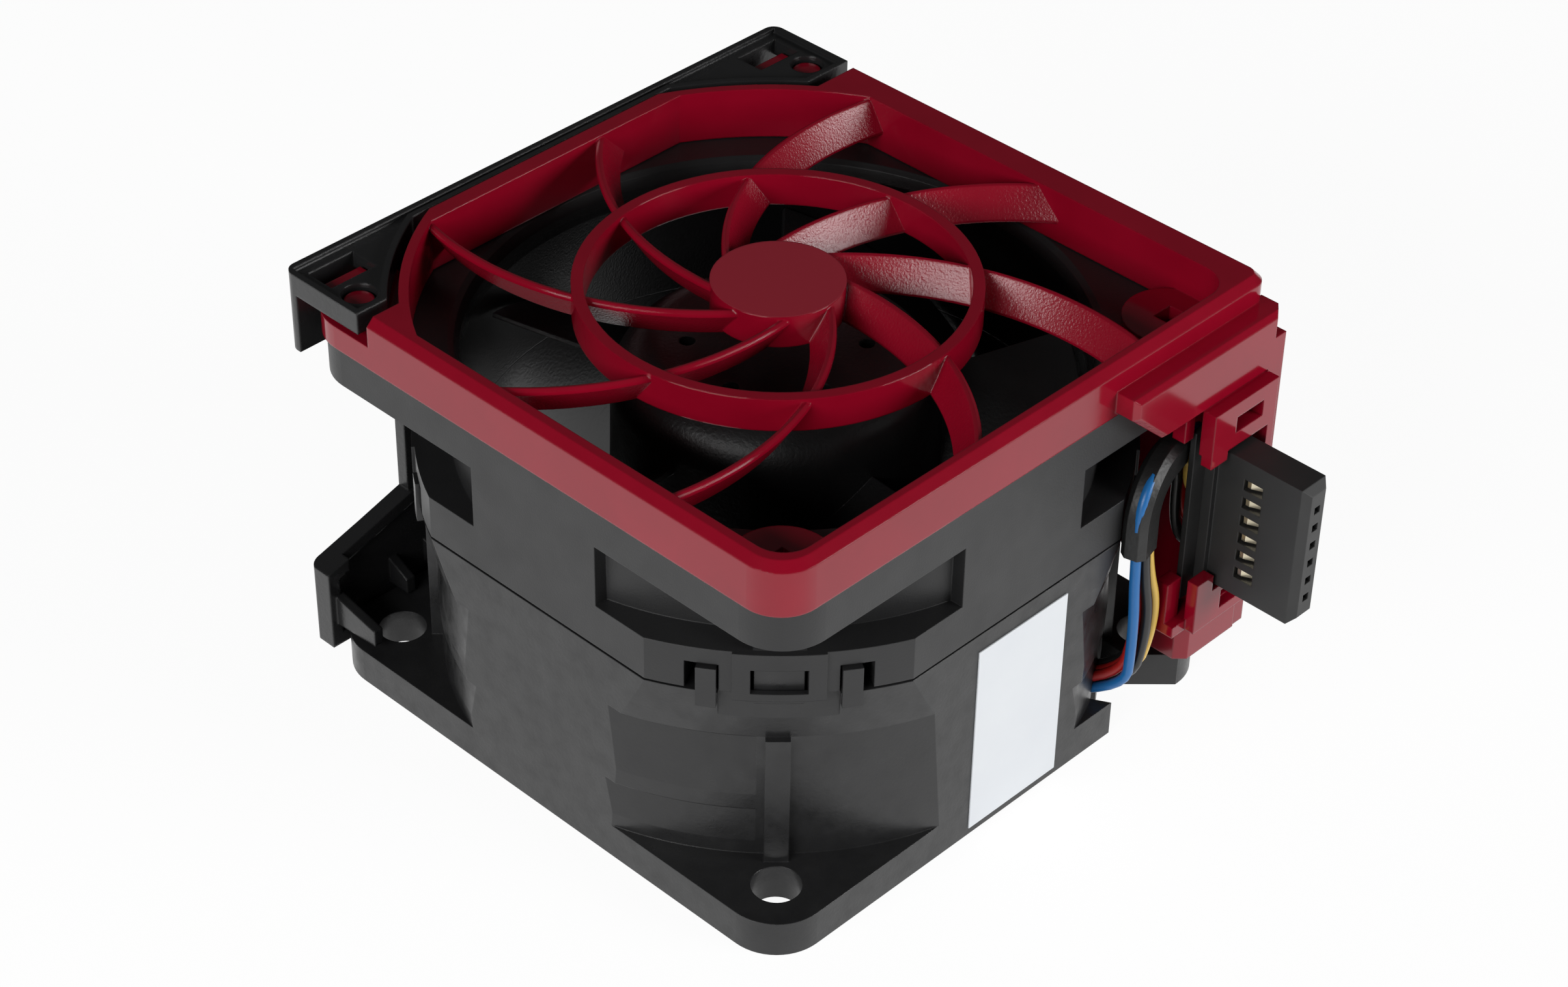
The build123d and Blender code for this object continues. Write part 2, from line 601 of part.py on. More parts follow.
def holder_beam():
    """Solid beam beside the guard's rim, with a slanted lower left end and a cut back corner."""
    slant_run, slant_low = BLOCK_SLANT
    profile = make_face(Polyline((BLOCK_START, BLOCK_TOP), (BLOCK_END, BLOCK_TOP), (BLOCK_END, BLOCK_LOW),
                                 (BLOCK_START + slant_run, BLOCK_LOW), (BLOCK_START, BLOCK_TOP - slant_low),
                                 close=True))
    root = GUARD_RIGHT - 0.6
    beam = Pos(root, 0, 0) * extrude(Plane.YZ * profile, BLOCK_RIGHT - root)
    outer = [e for e in beam.edges() if e.center().X > BLOCK_RIGHT - 0.01 and e.center().Y < BLOCK_END - 0.1]
    beam = chamfer(outer, BLOCK_BEVEL)
    beam -= block((0, 0, 0), (GUARD_RIGHT, 2 * HALF, GUARD_SEAT))
    corner = make_face(Polyline(*BLOCK_CORNER, close=True))
    return beam - Pos(0, 0, BLOCK_LOW - 1) * extrude(corner, BLOCK_TOP - BLOCK_LOW + 2)


def holder_wall():
    """Thin wall that hangs from the guard's back edge down to the lower clip."""
    points = [*WALL_PROFILE, (WALL_PROFILE[-1][0], GUARD_SEAT + 1), (WALL_PROFILE[0][0], GUARD_SEAT + 1)]
    wall = extrude(Plane.XZ * make_face(Polyline(*points, close=True)), -(GUARD_BACK - PLATE_END))
    return Pos(0, PLATE_END, 0) * wall


def upper_frame():
    """Slotted plate above the plug and the leg and side that come down round it."""
    slot_start, slot_end = PLATE_SLOT
    plate = block((BLOCK_RIGHT - 0.3, PLATE_START, PLUG_WINDOW_TOP),
                  (PLATE_RIGHT, PLATE_END, BLOCK_LOW + 0.2))
    plate -= block((BLOCK_RIGHT - 1, slot_start, PLATE_SLOT_LOW),
                   (PLATE_RIGHT + 1, slot_end, PLATE_SLOT_HIGH))
    leg = block((BLOCK_RIGHT, PLATE_START, PLUG_WINDOW_TOP - 1), (PLATE_RIGHT, LEG_END, PLUG_WINDOW_TOP + 1))
    side = block((BLOCK_RIGHT - 0.4, PLATE_END - 1, CLIP_LOW), (PLATE_RIGHT, PLATE_END, PLUG_WINDOW_TOP + 1))
    side += block((BLOCK_RIGHT - 2.0, PLATE_END - 0.2, CLIP_LOW), (BLOCK_RIGHT, GUARD_BACK, GUARD_SEAT))
    (x, y), (end_x, end_y) = UPPER_PRONG
    prong = block((x, y, UPPER_PRONG_LOW), (end_x, end_y, BLOCK_LOW + 0.1))
    return [plate, leg, side, prong]


def lower_clip():
    """U-shaped clip below the plug, its rear prong and the shelf that carries it."""
    slot_start, slot_end = CLIP_SLOT
    clip = block((BLOCK_RIGHT, CLIP_START, CLIP_LOW), (PLATE_RIGHT, PLATE_END, PLUG_WINDOW_LOW))
    clip -= block((BLOCK_RIGHT - 1, slot_start, CLIP_SLOT_LOW), (PLATE_RIGHT + 1, slot_end, CLIP_SLOT_HIGH))
    prong = block((BLOCK_RIGHT, PLATE_START, CLIP_LOW), (PLATE_RIGHT, LEG_END, PRONG_TOP))
    (x, y), (end_x, end_y) = REAR_PRONG
    rear_prong = block((x, y, CLIP_LOW), (end_x, end_y, PRONG_TOP))
    floor = block((CLIP_REAR, y, CLIP_LOW), (BLOCK_RIGHT + 0.2, PLATE_END + 0.2, CLIP_LOW + CLIP_FLOOR))
    shelf_end = BLOCK_RIGHT - 0.8
    shelf = block((*SHELF_START, SHELF_LOW), (shelf_end, PLATE_END + 0.2, SHELF_HIGH))
    shelf = chamfer(shelf.edges().filter_by(Axis.Z).sort_by(Axis.Y)[:2], SHELF_BEVEL)
    post = block((CLIP_REAR, LEG_END + 0.4, SHELF_HIGH - 0.1), (shelf_end, PLATE_END + 0.2, CLIP_LOW + 0.1))
    return [clip, prong, rear_prong, floor, shelf, post]


def plug_holder():
    """Everything beside the housing that carries the plug."""
    return holder_beam() + [holder_wall(), *upper_frame(), *lower_clip()]


def finger_guard():
    ring = tube(RING_RADIUS, RING_RADIUS - RING_WALL, GUARD_TOP - RING_HEIGHT, GUARD_TOP)
    disc_low = GUARD_TOP - DISC_HEIGHT
    hub = disc(DISC_RADIUS, disc_low, GUARD_TOP) + disc(BOSS_RADIUS, disc_low - BOSS_HEIGHT, disc_low + 0.1)
    guard = guard_rim() + guard_spokes()
    guard += ring
    guard += hub
    guard += guard_ears()
    guard += latch_strips()
    guard += plug_holder()
    return guard


def pin_heights():
    return [PIN_LOWEST + i * PIN_PITCH for i in range(PIN_COUNT)]


def connector_shell():
    half = PLUG_THICKNESS / 2
    collar = half + COLLAR_STEP
    body = block((PLUG_REAR, PIN_Y - half, PLUG_LOW), (PLUG_FRONT, PIN_Y + half, PLUG_HIGH))
    body = chamfer(body.faces().sort_by(Axis.X)[-1].edges(), PLUG_BEVEL)
    body += block((COLLAR_REAR, PIN_Y - collar, PLUG_LOW), (PLUG_REAR + 0.1, PIN_Y + collar, PLUG_HIGH))
    length, height = WINDOW_SIZE
    for z in pin_heights():
        body -= block((COLLAR_REAR - 1, PIN_Y - CAVITY / 2, z - CAVITY / 2),
                      (CAVITY_END, PIN_Y + CAVITY / 2, z + CAVITY / 2))
        body -= Pos(PLUG_FRONT, PIN_Y, z) * Box(4, PIN_ENTRY, PIN_ENTRY)
        body -= block((WINDOW_AT - length / 2, PIN_Y - half - 1, z - height / 2),
                      (WINDOW_AT + length / 2, PIN_Y, z + height / 2))
    return body


def connector_retainer():
    start, end = RETAINER_SIDES
    strip = block((RETAINER_REAR, start, RETAINER_LOW), (COLLAR_REAR, end, RETAINER_HIGH))
    for z in pin_heights():
        strip -= Pos(RETAINER_REAR, PIN_Y, z) * Rot(0, 90, 0) * Cylinder(WIRE_RADIUS + WIRE_CLEARANCE, 8)
    return strip


def contact_lance():
    """Sprung tongue on the contact's side, seen in the plug's window."""
    root = PIN_Y - CONTACT / 2
    tip = PIN_Y - LANCE_REACH
    long_end, short_end = LANCE_ENDS
    outline = Polyline((WINDOW_AT - long_end, root + 0.05), (WINDOW_AT + long_end, root + 0.05),
                       (WINDOW_AT + long_end, root - 0.1), (WINDOW_AT - short_end, tip),
                       (WINDOW_AT - long_end, tip), close=True)
    return Pos(0, 0, -LANCE_WIDTH / 2) * extrude(make_face(outline), LANCE_WIDTH)


def connector_contacts():
    """Box contacts of the plug: a square sleeve for the pin, a lance in the window and a crimp."""
    half = CONTACT / 2
    bore = half - CONTACT_WALL
    contact = block((CONTACT_REAR, PIN_Y - half, -half), (CONTACT_FRONT, PIN_Y + half, half))
    contact -= block((CONTACT_BORE, PIN_Y - bore, -bore), (CONTACT_FRONT + 1, PIN_Y + bore, bore))
    contact += contact_lance()
    contact += Pos(CRIMP_MIDDLE, PIN_Y, 0) * Rot(0, 90, 0) * Cylinder(WIRE_RADIUS, CRIMP_LENGTH)
    return [Pos(0, 0, z) * contact for z in pin_heights()]


def bundle_place(point, directions, row, column):
    """Plan place of one wire in the bundle round a point; directions run along and across it."""
    along, across = directions
    place = Vector(*point) + across * (row * WIRE_PITCH) + along * (column * WIRE_PITCH)
    return place.X, place.Y


def easy_bend(corners, i):
    """Largest easy radius at one corner of a route, from its two runs and its turn."""
    before, after = corners[i] - corners[i - 1], corners[i + 1] - corners[i]
    return 0.45 * min(before.length, after.length) / tan(radians(before.get_angle(after)) / 2)


def wire_route(pin):
    """Corner points and bend radii of one wire, from its contact to the motor base."""
    row = -0.5 if pin < PIN_COUNT / 2 else 0.5
    column = WIRE_COLUMNS[pin % len(WIRE_COLUMNS)]
    z_pin = pin_heights()[pin]
    z_turn = TURN_HEIGHT - column * WIRE_PITCH
    z_entry = ENTRY_HEIGHT - row * WIRE_PITCH
    rise = bundle_place(RISE_POINT, bundle_frame(), row, column)
    drop = bundle_place(DROP_POINT, bundle_frame(), row, -column)
    entry = bundle_place(ENTRY_POINT, entry_frame(), row, -column)
    bow = drop[0] + 0.2 * WIRE_BOWS[pin], (drop[1] + entry[1]) / 2 + WIRE_BOWS[pin]
    around, outward = entry_frame()
    end = outward * WIRE_END_RADIUS - around * (column * WIRE_PITCH)
    points = [(WIRE_START, PIN_Y, z_pin), (PLUG_EXIT, PIN_Y, z_pin), (*rise, z_pin), (*rise, z_turn),
              (*drop, z_turn), (*drop, SLEEVE_END - 1.5), (*bow, BOW_HEIGHT), (*entry, z_entry),
              (end.X, end.Y, z_entry)]
    corners = [Vector(*p) for p in points]
    radii = [easy_bend(corners, 1), PIN_BEND, RISE_BEND, DROP_BEND - column * WIRE_PITCH]
    radii += [easy_bend(corners, 5), easy_bend(corners, 6), ENTRY_BEND + row * WIRE_PITCH]
    return corners, radii


def wire(pin):
    corners, radii = wire_route(pin)
    path = FilletPolyline(*corners, radius=radii)
    section = RegularPolygon(WIRE_RADIUS, WIRE_SIDES)
    solid = sweep(Plane(origin=path @ 0, z_dir=path % 0) * section, path=path)
    print(WIRE_NAMES[pin], "length", round(path.length, 1), "radii", [round(r, 1) for r in radii],
          "volume share", round(solid.volume / (section.area * path.length), 4))
    return solid


def cable_sleeve():
    """Flat sleeve over the six wires where they turn over beside the housing."""
    along, across = bundle_frame()
    start = Vector(*RISE_POINT) + along * (RISE_BEND + WIRE_PITCH + SLEEVE_LEAD)
    corners = [Vector(start.X, start.Y, TURN_HEIGHT), Vector(*DROP_POINT, TURN_HEIGHT),
               Vector(*DROP_POINT, SLEEVE_END)]
    path = FilletPolyline(*corners, radius=DROP_BEND)
    wide = bundle_width()
    deep = WIRE_PITCH + 2 * (WIRE_RADIUS + SLEEVE_SLACK)
    outer = chamfer(Rectangle(deep + 2 * SLEEVE_WALL, wide + 2 * SLEEVE_WALL).vertices(), SLEEVE_CORNER)
    section = outer - chamfer(Rectangle(deep, wide).vertices(), SLEEVE_CORNER - SLEEVE_WALL)
    return sweep(Plane(origin=path @ 0, x_dir=across, z_dir=path % 0) * section, path=path)


def bracket_plate():
    """Top plate: two corner plates and the strip between them, each with a raised rim."""
    length = 2 * BRACKET_HALF_LENGTH
    middle = (BRACKET_OUT + BRACKET_PLATE_END) / 2
    outline = Pos(middle, BRACKET_MIDDLE) * Rectangle(BRACKET_PLATE_END - BRACKET_OUT, length)
    outline -= Circle(BRACKET_ARC)
    outline += Pos(BRACKET_OUT + BRACKET_WALL / 2, BRACKET_MIDDLE) * Rectangle(BRACKET_WALL, length)
    plate = Pos(0, 0, BRACKET_LOW) * extrude(outline, BRACKET_TOP - BRACKET_LOW)
    rim = outline - offset(outline, -BRACKET_RIM)
    plate += Pos(0, 0, BRACKET_TOP - 0.1) * extrude(rim, BRACKET_RIM_TOP - BRACKET_TOP + 0.1)
    x, y, width, depth = LATCH_WINDOW
    hole_x, hole_y, hole_r = LATCH_HOLE
    cut = Pos(x, y, BRACKET_TOP) * Box(width, depth, 5)
    cut += Pos(hole_x, hole_y) * disc(hole_r, SKIRT_LOW, GUARD_TOP + 1)
    return plate - mirrored(cut)


def bracket_foot(profile):
    """Border, hooks and gussets inside the bracket's foot."""
    foot = make_face(Polyline(*profile, close=True))
    rim = foot - offset(foot, -FOOT_RIM)
    rim = Pos(BRACKET_OUT, 0, 0) * extrude(Plane.YZ * rim, FOOT_RIM_X - BRACKET_OUT)
    rim -= block((-HALF - 0.3, -HOLE_AT - 2.5, 0), (0, HOLE_AT + 2.5, NECK_LOW + 5))
    prong = Plane.XZ * make_face(Polyline(*PRONG_PROFILE, close=True))
    pieces = [rim, *mirrored(Pos(0, BRACKET_MIDDLE - PRONG_OUT, 0) * extrude(prong, -PRONG_WIDTH))]
    gusset = Plane.XZ * make_face(Polyline(*GUSSET_PROFILE, close=True))
    for place in GUSSETS:
        pieces += mirrored(Pos(0, BRACKET_MIDDLE - place, 0) * extrude(gusset, -PRONG_WIDTH))
    return pieces


def side_bracket():
    inner = BRACKET_OUT + BRACKET_WALL
    low_y, high_y = BRACKET_MIDDLE - BRACKET_HALF_LENGTH, BRACKET_MIDDLE + BRACKET_HALF_LENGTH
    bracket = bracket_plate()
    skirt = block((BRACKET_OUT, low_y, SKIRT_LOW), (inner, high_y, BRACKET_TOP))
    half = [(NECK_HALF_WIDTH, SKIRT_LOW + 0.1), (NECK_HALF_WIDTH, NECK_LOW), FOOT_SHOULDER, FOOT_CORNER,
            (FOOT_CORNER[0], FOOT_LOW)]
    points = [(BRACKET_MIDDLE + y, z) for y, z in half] + [(BRACKET_MIDDLE - y, z) for y, z in reversed(half)]
    panel = Pos(BRACKET_OUT, 0, 0) * extrude(Plane.YZ * make_face(Polyline(*points, close=True)), NECK_WALL)
    bracket += [skirt, panel]
    bracket += bracket_foot([p for p in points if p[1] < NECK_LOW + 1])
    reach = BRACKET_PLATE_END - BRACKET_OUT + BRACKET_CORNER + 20
    rounded = RectangleRounded(reach, high_y - low_y, BRACKET_CORNER)
    return bracket & Pos(BRACKET_OUT + reach / 2, BRACKET_MIDDLE, 0) * extrude(rounded, GUARD_TOP + 1)


def label():
    return block((HALF, LABEL_START, LABEL_LOW), (HALF + LABEL_THICKNESS, LABEL_END, LABEL_HIGH))


def bearing_tube():
    low = BASE_LOW + BASE_FLOOR
    return tube(TUBE_RADIUS, TUBE_BORE, low, TUBE_TOP)


def bearings():
    """Two shielded ball bearings: outer race with its shields, and inner race."""
    rings = []
    for low in (BEARING_LOW, TUBE_TOP - 0.3 - BEARING_HEIGHT):
        high = low + BEARING_HEIGHT
        outer = TUBE_BORE - BEARING_FIT
        shield = RACE_INNER + 0.1
        race = turned([(RACE_OUTER, low), (outer, low), (outer, high), (RACE_OUTER, high),
                       (RACE_OUTER, high - 0.2), (shield, high - 0.2), (shield, low + 0.2),
                       (RACE_OUTER, low + 0.2)])
        inner = tube(RACE_INNER, SHAFT_RADIUS + SHAFT_FIT, low, high)
        rings += [race, inner]
    return rings


def stator_core():
    low, high = CORE_LOW, CORE_LOW + CORE_HEIGHT
    core = tube(CORE_YOKE, TUBE_RADIUS, low, high)
    shoe_inner = CORE_RADIUS - SHOE_DEPTH
    for i in range(POLE_COUNT):
        angle = 360 / POLE_COUNT * i
        neck = block((CORE_YOKE - 0.5, -POLE_WIDTH / 2, low), (shoe_inner + 0.2, POLE_WIDTH / 2, high))
        core += Rot(0, 0, angle) * neck
        core += sector(shoe_inner, CORE_RADIUS, low, high, angle - SHOE_HALF_ANGLE, angle + SHOE_HALF_ANGLE)
    return core


def windings():
    """One wound coil round each pole neck."""
    inner, outer = CORE_YOKE + 0.1, CORE_RADIUS - SHOE_DEPTH - 0.4
    high = CORE_HEIGHT / 2 + COIL_OVERHANG
    wide = POLE_WIDTH / 2 + COIL_THICKNESS
    section = RectangleRounded(2 * wide, 2 * high, 0.8) - Rectangle(POLE_WIDTH + 0.1, CORE_HEIGHT + 0.1)
    coil = Pos(inner, 0, CORE_LOW + CORE_HEIGHT / 2) * extrude(Plane.YZ * section, outer - inner)
    wedge = sector(inner - 1, outer + 1, 0, FAN_HEIGHT, -19.2, 19.2)
    coil = coil & wedge
    return [Rot(0, 0, 360 / POLE_COUNT * i) * coil for i in range(POLE_COUNT)]


def circuit_board():
    return tube(BOARD_RADIUS, TUBE_RADIUS + 0.2, BOARD_LOW, BOARD_LOW + BOARD_THICKNESS)


def hub_outline():
    """Outer profile of the hub, from the rim to the middle of the top, with a round shoulder."""
    shoulder_z = ROTOR_HIGH - HUB_SHOULDER
    flat = HUB_RADIUS - HUB_SHOULDER
    side = Line((HUB_RADIUS_LOW, ROTOR_LOW), (HUB_RADIUS, shoulder_z))
    shoulder = RadiusArc((HUB_RADIUS, shoulder_z), (flat, ROTOR_HIGH), -HUB_SHOULDER)
    return side, shoulder, flat


def rotor_blade():
    """Wide blade lofted through flat sections, trimmed to the hub and the tip circle."""
    half = radians(BLADE_WRAP / 2)
    sections = []
    for distance in (10.0, 16.0, 22.0, 30.0):
        share = (distance - 12.0) / 14.0
        high = BLADE_ROOT_HIGH + (BLADE_TIP_HIGH - BLADE_ROOT_HIGH) * max(0.0, share)
        reach = distance * tan(half)
        lead = Vector(reach, high)
        trail = Vector(-reach, BLADE_LOW)
        chord = lead - trail
        normal = Vector(-chord.Y, chord.X) / chord.length
        middle = (lead + trail) / 2 + normal * (chord.length * BLADE_CAMBER)
        shift = normal * (BLADE_THICKNESS / 2)
        upper = ThreePointArc(trail + shift * 0.4, middle + shift, lead + shift * 0.4)
        lower = ThreePointArc(trail - shift * 0.4, middle - shift, lead - shift * 0.4)
        outline = make_face([upper, lower, Line(upper @ 1, lower @ 1), Line(upper @ 0, lower @ 0)])
        plane = Plane(origin=(distance, 0, 0), x_dir=(0, 1, 0), z_dir=(1, 0, 0))
        sections.append(plane * outline)
    blade = loft(sections)
    tip = DUCT_RADIUS - BLADE_TIP_GAP
    trimmed = blade & tube(tip, HUB_RADIUS - 0.6, ROTOR_LOW, ROTOR_HIGH)
    return Rot(0, 0, BLADE_LEADING_ANGLE - BLADE_WRAP / 2) * trimmed


def impeller():
    side, shoulder, flat = hub_outline()
    inside = HUB_RADIUS - HUB_WALL
    under = ROTOR_HIGH - HUB_TOP_WALL
    rest = Polyline((flat, ROTOR_HIGH), (0, ROTOR_HIGH), (0, under), (inside - 1.0, under),
                    (inside, under - 1.0), (inside, ROTOR_LOW), (HUB_RADIUS_LOW, ROTOR_LOW))
    hub = revolve(Plane.XZ * make_face([side, shoulder, rest]), Axis.Z)
    hub += disc(HUB_BOSS_RADIUS, HUB_BOSS_LOW, under + 0.2)
    hub -= disc(SHAFT_RADIUS, 0, under + 0.6)
    blade = rotor_blade()
    hub += [Rot(0, 0, 360 / BLADE_COUNT * i) * blade for i in range(BLADE_COUNT)]
    hole = disc(HUB_HOLE_RADIUS, under - 1, ROTOR_HIGH + 1)
    for i in range(HUB_HOLE_COUNT):
        hub -= Rot(0, 0, HUB_HOLE_ANGLE + 360 / HUB_HOLE_COUNT * i) * Pos(HUB_HOLE_CIRCLE, 0) * hole
    return hub


def rotor_yoke():
    outer = HUB_RADIUS - HUB_WALL
    under = ROTOR_HIGH - HUB_TOP_WALL
    inner = outer - YOKE_WALL
    return turned([(HUB_BOSS_RADIUS, under), (outer - 1.0, under), (outer, under - 1.0), (outer, YOKE_LOW),
                   (inner, YOKE_LOW), (inner, under - 1.2), (inner - 0.4, under - YOKE_WALL),
                   (HUB_BOSS_RADIUS, under - YOKE_WALL)])


def magnet_ring():
    outer = HUB_RADIUS - HUB_WALL - YOKE_WALL
    return tube(outer, outer - MAGNET_WALL, MAGNET_LOW, MAGNET_LOW + MAGNET_HEIGHT)


def rotor_shaft():
    top = ROTOR_HIGH - HUB_TOP_WALL + 0.6
    shaft = disc(SHAFT_RADIUS, SHAFT_LOW, top)
    groove_low = BEARING_LOW - 0.3 - CLIP_THICKNESS
    return shaft - tube(SHAFT_RADIUS + 1, SHAFT_RADIUS - 0.3, groove_low, groove_low + CLIP_THICKNESS)


def shaft_clip():
    low = BEARING_LOW - 0.3 - CLIP_THICKNESS
    ring = tube(CLIP_RADIUS, SHAFT_RADIUS - 0.3, low, low + CLIP_THICKNESS)
    return ring - block((0, -0.9, low - 1), (4, 0.9, low + 1))


def preload_spring():
    """Disc spring that presses the boss and the upper bearing's inner race apart."""
    low, high = TUBE_TOP - 0.3, HUB_BOSS_LOW
    bore = SHAFT_RADIUS + 0.1
    return turned([(bore, low), (bore + 0.5, low), (SPRING_RADIUS, high - SPRING_THICKNESS),
                   (SPRING_RADIUS, high), (SPRING_RADIUS - 0.5, high), (bore, low + SPRING_THICKNESS)])


NODES = {
    "rear_housing": rear_housing,
    "front_housing": front_housing,
    "finger_guard": finger_guard,
    "side_bracket": side_bracket,
    "connector_shell": connector_shell,
    "connector_retainer": connector_retainer,
    "connector_contacts": connector_contacts,
    "cable_sleeve": cable_sleeve,
    "label": label,
    "bearing_tube": bearing_tube,
    "bearings": bearings,
    "stator_core": stator_core,
    "windings": windings,
    "circuit_board": circuit_board,
    "impeller": impeller,
    "rotor_yoke": rotor_yoke,
    "magnet_ring": magnet_ring,
    "rotor_shaft": rotor_shaft,
    "shaft_clip": shaft_clip,
    "preload_spring": preload_spring,
}


def main():
    os.makedirs("parts", exist_ok=True)
    for name, build in NODES.items():
        shape = build()
        if isinstance(shape, list):
            shape = Compound(children=shape)
        export_step(shape, f"parts/{name}.step")
    for pin, name in enumerate(WIRE_NAMES):
        export_step(wire(pin), f"parts/{name}.step")


main()
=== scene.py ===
from math import cos, radians, sin

import bpy
from mathutils import Matrix, Vector


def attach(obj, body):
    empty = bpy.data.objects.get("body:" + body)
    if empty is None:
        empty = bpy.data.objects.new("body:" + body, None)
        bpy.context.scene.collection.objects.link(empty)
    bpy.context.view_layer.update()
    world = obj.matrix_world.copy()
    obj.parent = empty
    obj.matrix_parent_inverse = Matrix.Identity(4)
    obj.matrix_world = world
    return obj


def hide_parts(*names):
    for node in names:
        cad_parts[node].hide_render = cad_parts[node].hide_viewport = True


# Looks of the server fan module: finishes, round wires, studio and camera.
# Metres, in the part's own frame: +Z is the fan's axis, +X the plug side, -X the bracket side.

MM = 0.001

# Camera, fitted to the photograph: its place in metres, angles in degrees, focal length in pixels
CAMERA_PLACE = Vector((178.517, -185.904, 216.355)) * MM
CAMERA_AZIMUTH = 43.645
CAMERA_ELEVATION = 37.316
CAMERA_ROLL = 1.06
CAMERA_NEAR = 0.01
FOCAL_PIXELS = 5349.5
PHOTO_WIDTH = 2408
SENSOR_WIDTH = 36.0

# Colours of the mouldings
GUARD_RED = (0.285, 0.003, 0.017)
GUARD_RED_DEEP = (0.25, 0.002, 0.014)
# Painted highlight: the lighter red put on the matt top of the hub disc
GUARD_RED_LIT_TOP = (0.33, 0.02, 0.036)
BLACK = (0.013, 0.013, 0.0135)
BLACK_WORN = (0.018, 0.018, 0.0185)
# Painted shade: the darker black put inside the round duct
BLACK_PAINTED_SHADE = (0.005, 0.005, 0.0052)

# Duct: inside this radius the mouldings are darker, a painted shade, and glossier, in millimetres
DUCT_RADIUS = 28.5
DUCT_BLEND = 0.4
DUCT_GLOSS = 0.24

# Guard: its grain lies on faces that lean this much, by the upright share of their normal
GRAIN_FROM = (0.36, 0.42)
GRAIN_TO = (0.60, 0.66)
GRAIN_DEPTH = 0.042
GRAIN_SCALE = 4200.0
WAVE_DEPTH = 0.002
WAVE_SCALE = 900.0
POLISHED_ROUGHNESS = 0.12
GRAINED_ROUGHNESS = 0.27
GUARD_SOFT_EDGE = 0.22

# Guard's hub disc, whose top is matt and painted lighter, a painted highlight: height, rim in millimetres
# and how flat a face counts
DISC_HEIGHT = 43.9
DISC_RIM = (7.6, 7.9)
DISC_FLAT = (0.97, 0.99)
DISC_ROUGHNESS = 0.42

# Range of the noise that is stretched to the full blend
CLOUD_LOW, CLOUD_HIGH = 0.3, 0.7

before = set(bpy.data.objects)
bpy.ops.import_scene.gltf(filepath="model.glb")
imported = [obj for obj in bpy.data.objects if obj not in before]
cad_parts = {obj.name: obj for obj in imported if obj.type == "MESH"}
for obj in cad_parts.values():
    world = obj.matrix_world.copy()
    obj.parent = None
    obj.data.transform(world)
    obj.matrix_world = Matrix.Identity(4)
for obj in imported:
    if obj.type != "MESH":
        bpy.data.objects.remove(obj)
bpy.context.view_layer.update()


def new_tree(name):
    material = bpy.data.materials.new(name)
    material.use_nodes = True
    tree = material.node_tree
    tree.nodes.clear()
    return material, tree


def add(tree, kind, **values):
    """New node whose named properties or input sockets get the values given."""
    node = tree.nodes.new("ShaderNode" + kind)
    for key, value in values.items():
        socket = node.inputs.get(key.replace("_", " "))
        if socket is not None:
            socket.default_value = value
        else:
            setattr(node, key, value)
    return node


def noise(tree, place, scale, detail=3.0, roughness=0.55):
    node = add(tree, "TexNoise", Scale=scale, Detail=detail, Roughness=roughness)
    tree.links.new(place.outputs["Object"], node.inputs["Vector"])
    return node.outputs["Fac"]


def spread(tree, source, low, high, new_low, new_high):
    """Maps a value from one range to another."""
    node = add(tree, "MapRange", From_Min=low, From_Max=high, To_Min=new_low, To_Max=new_high)
    tree.links.new(source, node.inputs["Value"])
    return node.outputs["Result"]


def cloudy(tree, source, low, high):
    """Spreads the middle of a noise over a range."""
    return spread(tree, source, CLOUD_LOW, CLOUD_HIGH, low, high)


def product(tree, first, second):
    node = add(tree, "Math", operation="MULTIPLY")
    tree.links.new(first, node.inputs[0])
    tree.links.new(second, node.inputs[1])
    return node.outputs[0]


def mixed_colour(tree, share, first, second):
    """Blend of two colours, each given as numbers or as a node's output."""
    node = add(tree, "Mix", data_type="RGBA")
    for socket, colour in ((node.inputs[6], first), (node.inputs[7], second)):
        if isinstance(colour, tuple):
            socket.default_value = (*colour, 1)
        else:
            tree.links.new(colour, socket)
    tree.links.new(share, node.inputs[0])
    return node.outputs[2]


def mixed_value(tree, share, first, second):
    """Blend of two values, each given as a number or as a node's output."""
    node = add(tree, "Mix", data_type="FLOAT")
    for socket, value in ((node.inputs[2], first), (node.inputs[3], second)):
        if isinstance(value, float):
            socket.default_value = value
        else:
            tree.links.new(value, socket)
    tree.links.new(share, node.inputs[0])
    return node.outputs[0]


def finish_surface(tree, shader, normal):
    """Gives the shader its normal and joins it to the material's output."""
    tree.links.new(normal, shader.inputs["Normal"])
    output = add(tree, "OutputMaterial")
    tree.links.new(shader.outputs["BSDF"], output.inputs["Surface"])


def duct_mask(tree, place):
    """One outside the round duct, zero inside it, where the painted shade goes."""
    flat = add(tree, "VectorMath", operation="MULTIPLY")
    flat.inputs[1].default_value = (1, 1, 0)
    tree.links.new(place.outputs["Object"], flat.inputs[0])
    reach = add(tree, "VectorMath", operation="LENGTH")
    tree.links.new(flat.outputs["Vector"], reach.inputs[0])
    return spread(tree, reach.outputs["Value"], DUCT_RADIUS * MM, (DUCT_RADIUS + DUCT_BLEND) * MM, 0, 1)


